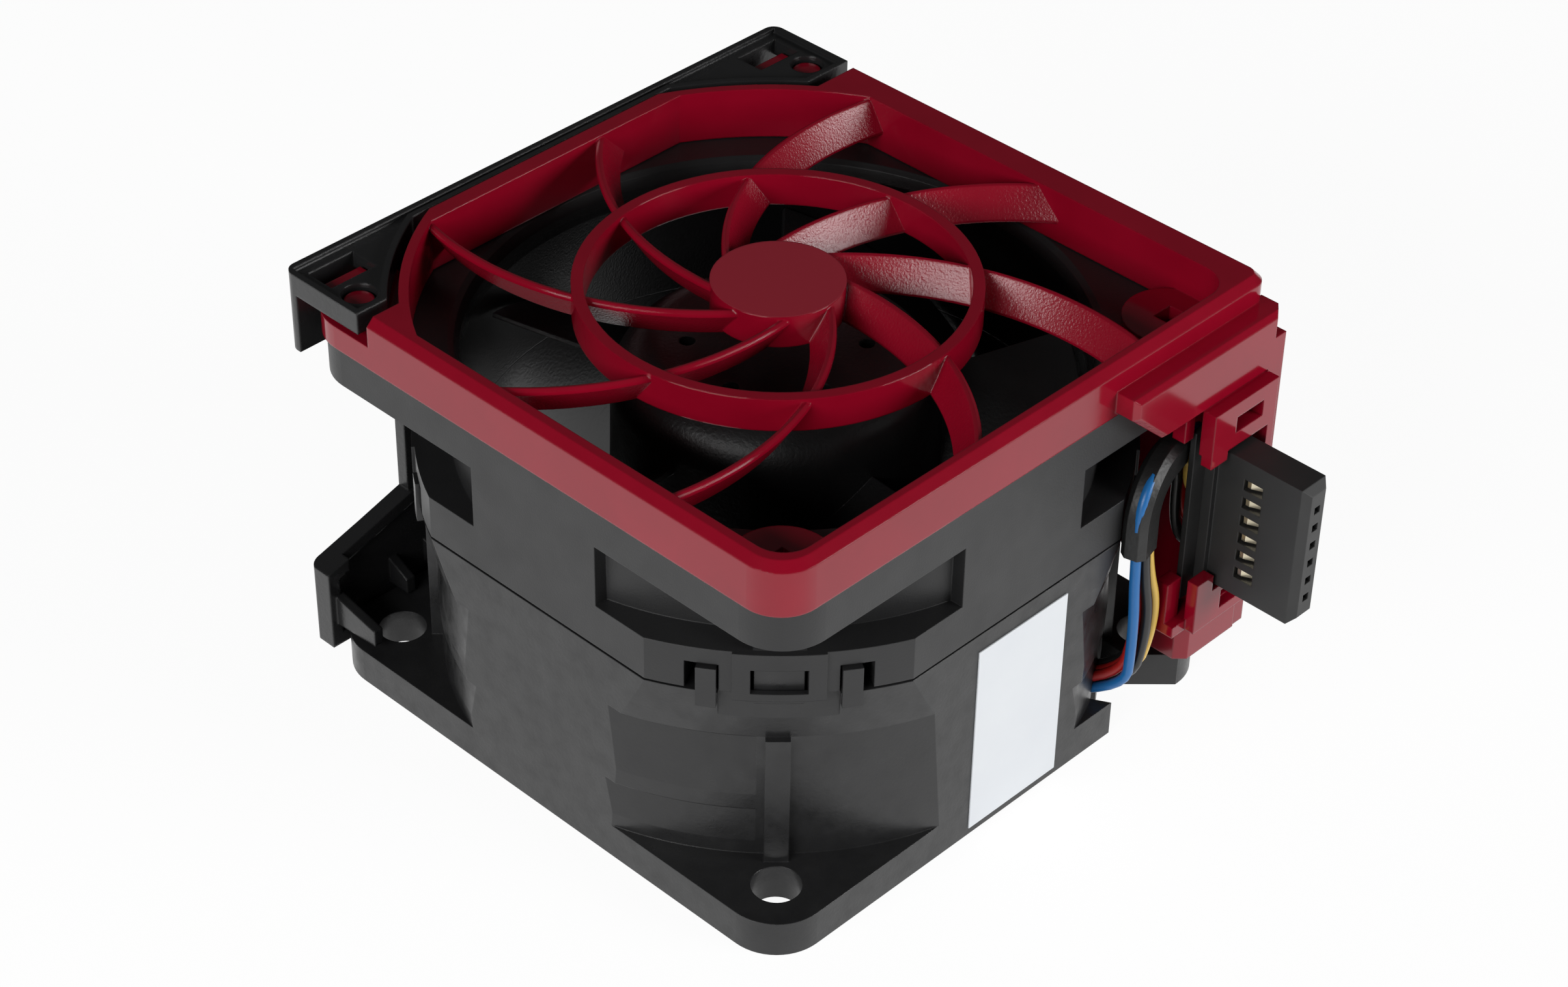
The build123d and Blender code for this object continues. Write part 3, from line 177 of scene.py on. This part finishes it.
def moulded(name, colour, cloud, roughness, grain, depth, edge=0.15, cloud_scale=90.0, duct=None):
    """Moulded plastic: spark-eroded grain, cloudy gloss, and a softened edge.

    Grain, depth and edge are in millimetres. Where duct is given, it is the colour and the roughness
    inside the round duct: the colour is darker, a painted shade, and the roughness is the real gloss."""
    material, tree = new_tree(name)
    place = add(tree, "TexCoord")
    shader = add(tree, "BsdfPrincipled")
    tint = mixed_colour(tree, cloudy(tree, noise(tree, place, cloud_scale), 0, 1), colour, cloud)
    gloss = cloudy(tree, noise(tree, place, cloud_scale * 3), *roughness)
    if duct is not None:
        shade_colour, polish = duct
        # Inside the duct the colour is a painted shade and the roughness is the real gloss
        mask = duct_mask(tree, place)
        tint = mixed_colour(tree, mask, shade_colour, tint)
        gloss = mixed_value(tree, mask, polish, gloss)
    tree.links.new(tint, shader.inputs["Base Color"])
    tree.links.new(gloss, shader.inputs["Roughness"])
    soft_edge = add(tree, "Bevel", samples=4, Radius=edge * MM)
    bump = add(tree, "Bump", Strength=1.0, Distance=depth * MM)
    tree.links.new(noise(tree, place, 1 / (grain * MM), 2.0), bump.inputs["Height"])
    tree.links.new(soft_edge.outputs["Normal"], bump.inputs["Normal"])
    finish_surface(tree, shader, bump.outputs["Normal"])
    return material


def metal(name, colour, roughness, grain=0.25, depth=0.002):
    """Bare metal with stains and fine unevenness; grain and depth are in millimetres."""
    material, tree = new_tree(name)
    place = add(tree, "TexCoord")
    shader = add(tree, "BsdfPrincipled", Metallic=1.0)
    stain = noise(tree, place, 200.0)
    dull = tuple(c * 0.7 for c in colour)
    tree.links.new(mixed_colour(tree, cloudy(tree, stain, 0, 1), colour, dull), shader.inputs["Base Color"])
    tree.links.new(cloudy(tree, stain, roughness - 0.06, roughness + 0.1), shader.inputs["Roughness"])
    bump = add(tree, "Bump", Strength=1.0, Distance=depth * MM)
    tree.links.new(noise(tree, place, 1 / (grain * MM), 4.0), bump.inputs["Height"])
    finish_surface(tree, shader, bump.outputs["Normal"])
    return material


def guard_finish():
    """Red moulding: polished, with grain on the leaning faces of its spokes and a hub disc whose top is matt
    and painted lighter, a painted highlight.
    """
    material, tree = new_tree("guard_red")
    place = add(tree, "TexCoord")
    shape = add(tree, "NewGeometry")
    height = add(tree, "SeparateXYZ")
    tree.links.new(shape.outputs["True Normal"], height.inputs[0])
    flat = add(tree, "Math", operation="ABSOLUTE")
    tree.links.new(height.outputs["Z"], flat.inputs[0])
    upright = flat.outputs[0]
    grained = product(tree, spread(tree, upright, *GRAIN_FROM, 0, 1), spread(tree, upright, *GRAIN_TO, 1, 0))

    centre = add(tree, "VectorMath", operation="SUBTRACT")
    centre.inputs[1].default_value = (0, 0, DISC_HEIGHT * MM)
    tree.links.new(place.outputs["Object"], centre.inputs[0])
    reach = add(tree, "VectorMath", operation="LENGTH")
    tree.links.new(centre.outputs["Vector"], reach.inputs[0])
    rim_start, rim_end = DISC_RIM
    near = spread(tree, reach.outputs["Value"], rim_start * MM, rim_end * MM, 1, 0)
    # Flat top of the hub disc: a real matt roughness and a lighter colour, a painted highlight
    matt_lit_top = product(tree, near, spread(tree, upright, *DISC_FLAT, 0, 1))

    shader = add(tree, "BsdfPrincipled")
    red = mixed_colour(tree, cloudy(tree, noise(tree, place, 120.0), 0, 1), GUARD_RED, GUARD_RED_DEEP)
    tree.links.new(mixed_colour(tree, matt_lit_top, red, GUARD_RED_LIT_TOP), shader.inputs["Base Color"])
    gloss = spread(tree, grained, 0, 1, POLISHED_ROUGHNESS, GRAINED_ROUGHNESS)
    tree.links.new(mixed_value(tree, matt_lit_top, gloss, DISC_ROUGHNESS), shader.inputs["Roughness"])
    soft_edge = add(tree, "Bevel", samples=4, Radius=GUARD_SOFT_EDGE * MM)
    wave = add(tree, "Bump", Strength=1.0, Distance=WAVE_DEPTH * MM)
    tree.links.new(noise(tree, place, WAVE_SCALE, 1.0), wave.inputs["Height"])
    tree.links.new(soft_edge.outputs["Normal"], wave.inputs["Normal"])
    bump = add(tree, "Bump", Distance=GRAIN_DEPTH * MM)
    tree.links.new(noise(tree, place, GRAIN_SCALE, 2.0), bump.inputs["Height"])
    tree.links.new(grained, bump.inputs["Strength"])
    tree.links.new(wave.outputs["Normal"], bump.inputs["Normal"])
    finish_surface(tree, shader, bump.outputs["Normal"])
    return material


# Plastics: two colours that mix in clouds, range of roughness, grain size, grain depth, and the rest by name
# Painted shade inside the duct: its colour, with the duct's real gloss
DUCT_SHADE_AND_GLOSS = (BLACK_PAINTED_SHADE, DUCT_GLOSS)
PLASTICS = {
    "front_black": (BLACK, BLACK_WORN, (0.40, 0.48), 0.2, 0.014, {"duct": DUCT_SHADE_AND_GLOSS}),
    "rear_black": (BLACK, BLACK_WORN, (0.26, 0.44), 0.35, 0.012, {"cloud_scale": 180, "duct": DUCT_SHADE_AND_GLOSS}),
    "bracket_black": (BLACK, BLACK_WORN, (0.22, 0.30), 0.4, 0.02, {"edge": 0.3}),
    "plug_black": ((0.016, 0.016, 0.016), (0.022, 0.022, 0.022), (0.4, 0.5), 0.2, 0.004, {}),
    "rotor_black": ((0.009, 0.009, 0.0093), (0.013, 0.013, 0.0134), (0.34, 0.44), 0.35, 0.035, {}),
    "sleeve_black": ((0.008, 0.008, 0.008), (0.013, 0.013, 0.013), (0.36, 0.46), 0.9, 0.05, {}),
    "wire_black": ((0.012, 0.012, 0.012), (0.016, 0.016, 0.016), (0.3, 0.38), 0.4, 0.004, {}),
    "wire_red": ((0.42, 0.014, 0.012), (0.34, 0.01, 0.01), (0.3, 0.38), 0.4, 0.004, {}),
    "wire_yellow": ((0.86, 0.56, 0.11), (0.78, 0.50, 0.09), (0.3, 0.38), 0.4, 0.004, {}),
    "wire_blue": ((0.012, 0.15, 0.42), (0.010, 0.12, 0.36), (0.3, 0.38), 0.4, 0.004, {}),
    "label_white": ((0.84, 0.87, 0.9), (0.8, 0.83, 0.87), (0.34, 0.42), 0.5, 0.002, {"edge": 0.05}),
    "board_green": ((0.012, 0.12, 0.05), (0.01, 0.09, 0.04), (0.3, 0.4), 0.6, 0.004, {}),
    "magnet_grey": ((0.05, 0.05, 0.055), (0.07, 0.07, 0.075), (0.5, 0.6), 0.2, 0.006, {}),
}

# Metals: colour, roughness, and the rest by name
METALS = {
    "contact_metal": ((0.78, 0.70, 0.52), 0.3, {}),
    "brass": ((0.75, 0.55, 0.25), 0.3, {}),
    "steel": ((0.6, 0.6, 0.61), 0.28, {}),
    "core_steel": ((0.36, 0.36, 0.37), 0.4, {}),
    "copper": ((0.72, 0.30, 0.12), 0.35, {"grain": 0.5, "depth": 0.02}),
}

# Finish of each node, which is also the name of its slot
FINISHES = {
    "rear_housing": "rear_black", "front_housing": "front_black", "finger_guard": "guard_red",
    "side_bracket": "bracket_black", "connector_shell": "plug_black", "connector_retainer": "plug_black",
    "connector_contacts": "contact_metal", "cable_sleeve": "sleeve_black", "label": "label_white",
    "bearing_tube": "brass", "bearings": "steel", "stator_core": "core_steel", "windings": "copper",
    "circuit_board": "board_green", "impeller": "rotor_black", "rotor_yoke": "core_steel",
    "magnet_ring": "magnet_grey", "rotor_shaft": "steel", "shaft_clip": "steel", "preload_spring": "steel",
    "black_wire_lower": "wire_black", "black_wire_upper": "wire_black", "red_wire_lower": "wire_red",
    "red_wire_upper": "wire_red", "yellow_wire": "wire_yellow", "blue_wire": "wire_blue",
}


def make_finishes():
    finishes = {"guard_red": guard_finish()}
    for name, (*values, extras) in PLASTICS.items():
        finishes[name] = moulded(name, *values, **extras)
    for name, (*values, extras) in METALS.items():
        finishes[name] = metal(name, *values, **extras)
    return finishes


def dress_nodes(materials):
    """Gives each carried-over node its finish."""
    for name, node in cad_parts.items():
        finish = materials[FINISHES[name]]
        if not node.material_slots:
            node.data.materials.append(finish)
        for place in node.material_slots:
            place.material = finish


# Wires, in millimetres: the route of the part's source, with the wires leant as in the photograph
WIRE_RADIUS = 0.5
WIRE_PITCH = 1.0
PIN_HEIGHTS = [17.2 + 2.0 * i for i in range(6)]
PIN_Y = 25.85
RISE_POINT = Vector((28.55, 24.9))
DROP_POINT = Vector((30.9, 15.4))
ENTRY_POINT = Vector((29.7, 16.3))
TURN_HEIGHT = 29.4
DROP_END = 20.5
BOW_HEIGHT = 13.0
BOW_LEAN = 0.2
ENTRY_HEIGHT = 3.6
WIRE_START = 32.7
PLUG_EXIT = 31.0
WIRE_END_RADIUS = 16.5
WIRE_NAMES = ("black_wire_lower", "red_wire_lower", "red_wire_upper",
              "yellow_wire", "black_wire_upper", "blue_wire")
WIRE_COLUMNS = (1, 0, -1)
WIRE_BOWS = (0.9, 0.5, 0.2, 1.7, 1.0, 0.6)
# How far each wire leans from the plain route at its drop and at its bow
WIRE_LEANS = (((0.0, 0.6), (0.0, 0.4)), ((0.3, 0.5), (0.2, 0.9)), ((0.05, 0.9), (0.0, 1.9)),
              ((0.0, -0.1), (-0.2, 0.2)), ((0.1, 0.0), (0.1, 0.1)), ((-0.1, -0.3), (-0.15, -0.8)))


def wire_route(pin):
    """Control points of one wire, from its contact to the motor base, in millimetres."""
    row = -0.5 if pin < 3 else 0.5
    column = WIRE_COLUMNS[pin % 3]
    along = (DROP_POINT - RISE_POINT).normalized()
    across = Vector((-along.y, along.x))
    outward = ENTRY_POINT.normalized()
    around = Vector((outward.y, -outward.x))
    rise = RISE_POINT + across * row * WIRE_PITCH + along * column * WIRE_PITCH
    drop = DROP_POINT + across * row * WIRE_PITCH - along * column * WIRE_PITCH
    entry = ENTRY_POINT + outward * row * WIRE_PITCH - around * column * WIRE_PITCH
    bow = Vector((drop.x + BOW_LEAN * WIRE_BOWS[pin], (drop.y + entry.y) / 2 + WIRE_BOWS[pin]))
    end = outward * WIRE_END_RADIUS - around * column * WIRE_PITCH
    lean_drop, lean_bow = WIRE_LEANS[pin]
    drop += Vector(lean_drop)
    bow += Vector(lean_bow)
    z_pin, z_turn = PIN_HEIGHTS[pin], TURN_HEIGHT - column * WIRE_PITCH
    z_entry = ENTRY_HEIGHT - row * WIRE_PITCH
    return [(WIRE_START, PIN_Y, z_pin), (PLUG_EXIT, PIN_Y, z_pin), (*rise, z_pin), (*rise, z_turn),
            (*drop, z_turn), (*drop, DROP_END), (*bow, BOW_HEIGHT), (*entry, z_entry), (*end, z_entry)]


def draw_wires(materials):
    """Round wires in place of the plain ones."""
    for pin, name in enumerate(WIRE_NAMES):
        curve = bpy.data.curves.new(name + "_drawn", "CURVE")
        curve.dimensions = "3D"
        curve.bevel_depth = WIRE_RADIUS * MM
        curve.bevel_resolution = 4
        curve.resolution_u = 10
        curve.use_fill_caps = True
        spline = curve.splines.new("NURBS")
        route = wire_route(pin)
        spline.points.add(len(route) - 1)
        for point, place in zip(spline.points, route):
            point.co = (*(Vector(place) * MM), 1)
        spline.order_u = 3
        spline.use_endpoint_u = True
        curve.materials.append(materials[FINISHES[name]])
        piece = bpy.data.objects.new(name + "_drawn", curve)
        bpy.context.scene.collection.objects.link(piece)
        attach(piece, "housing")
        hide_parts(name)


# Studio: floor and lamps in metres
FLOOR_SIZE = 4.0
FLOOR_DROP = 0.0001
FLOOR_GLOW = 1.04
FLOOR_GLOW_SHARE = 0.9
WORLD_LIGHT = 0.05
LAMP_DISTANCE = 0.7
LAMP_AIM_HEIGHT = 0.02
# Name, azimuth, elevation, size and power of each lamp
LAMPS = (("lamp_left", 8, 24, (0.48, 0.27), 3.5), ("lamp_right", 115, 16.5, (0.36, 0.26), 3.1))


def toward(azimuth, elevation):
    """Unit vector from the part to a bearing; azimuth 0 is -Y and 90 is +X."""
    a, e = radians(azimuth), radians(elevation)
    return Vector((sin(a) * cos(e), -cos(a) * cos(e), sin(e)))


def studio_floor():
    """Pale floor that shows near white to the camera and keeps the soft shadow."""
    material, tree = new_tree("studio_floor")
    path = add(tree, "LightPath")
    cloth = add(tree, "BsdfDiffuse", Color=(0.93, 0.93, 0.93, 1))
    glow = add(tree, "Emission", Color=(1, 1, 1, 1), Strength=FLOOR_GLOW)
    seen = add(tree, "Math", operation="MAXIMUM")
    tree.links.new(path.outputs["Is Camera Ray"], seen.inputs[0])
    tree.links.new(path.outputs["Is Glossy Ray"], seen.inputs[1])
    share = add(tree, "Math", operation="MULTIPLY")
    share.inputs[1].default_value = FLOOR_GLOW_SHARE
    tree.links.new(seen.outputs[0], share.inputs[0])
    blend = add(tree, "MixShader")
    tree.links.new(share.outputs[0], blend.inputs[0])
    tree.links.new(cloth.outputs[0], blend.inputs[1])
    tree.links.new(glow.outputs[0], blend.inputs[2])
    output = add(tree, "OutputMaterial")
    tree.links.new(blend.outputs[0], output.inputs["Surface"])
    bpy.ops.mesh.primitive_plane_add(size=FLOOR_SIZE, location=(0, 0, -FLOOR_DROP))
    floor = bpy.context.object
    floor.name = "floor"
    floor.data.materials.append(material)


def studio_world():
    """Faint light all round, shown white to the camera."""
    world = bpy.data.worlds.new("studio")
    bpy.context.scene.world = world
    world.use_nodes = True
    tree = world.node_tree
    tree.nodes.clear()
    path = add(tree, "LightPath")
    soft = add(tree, "Background", Color=(1, 1, 1, 1), Strength=WORLD_LIGHT)
    white = add(tree, "Background", Color=(1, 1, 1, 1), Strength=1.0)
    blend = add(tree, "MixShader")
    tree.links.new(path.outputs["Is Camera Ray"], blend.inputs[0])
    tree.links.new(soft.outputs[0], blend.inputs[1])
    tree.links.new(white.outputs[0], blend.inputs[2])
    output = add(tree, "OutputWorld")
    tree.links.new(blend.outputs[0], output.inputs["Surface"])


def softbox(name, azimuth, elevation, size, power):
    """Area lamp at a bearing from the part, facing its middle."""
    lamp = bpy.data.lights.new(name, "AREA")
    lamp.shape = "RECTANGLE"
    lamp.size, lamp.size_y = size
    lamp.energy = power
    holder = bpy.data.objects.new(name, lamp)
    away = toward(azimuth, elevation)
    holder.location = away * LAMP_DISTANCE + Vector((0, 0, LAMP_AIM_HEIGHT))
    holder.rotation_euler = away.to_track_quat("Z", "Y").to_euler()
    bpy.context.scene.collection.objects.link(holder)


def photo_camera():
    """Camera at the photograph's view; its axes come from azimuth, elevation and roll."""
    a, r = radians(CAMERA_AZIMUTH), radians(CAMERA_ROLL)
    back = toward(CAMERA_AZIMUTH, CAMERA_ELEVATION)
    level = Vector((cos(a), sin(a), 0))
    upright = back.cross(level)
    right = level * cos(r) + upright * sin(r)
    up = upright * cos(r) - level * sin(r)
    turn = Matrix((right, up, back)).transposed()
    camera = bpy.data.cameras.new("photo_camera")
    camera.sensor_width = SENSOR_WIDTH
    camera.lens = FOCAL_PIXELS / PHOTO_WIDTH * SENSOR_WIDTH
    camera.clip_start = CAMERA_NEAR
    holder = bpy.data.objects.new("photo_camera", camera)
    holder.matrix_world = Matrix.Translation(CAMERA_PLACE) @ turn.to_4x4()
    bpy.context.scene.collection.objects.link(holder)
    bpy.context.scene.camera = holder


finishes = make_finishes()
dress_nodes(finishes)
draw_wires(finishes)
studio_floor()
studio_world()
for lamp_values in LAMPS:
    softbox(*lamp_values)
photo_camera()
bpy.context.scene.view_settings.view_transform = "Standard"
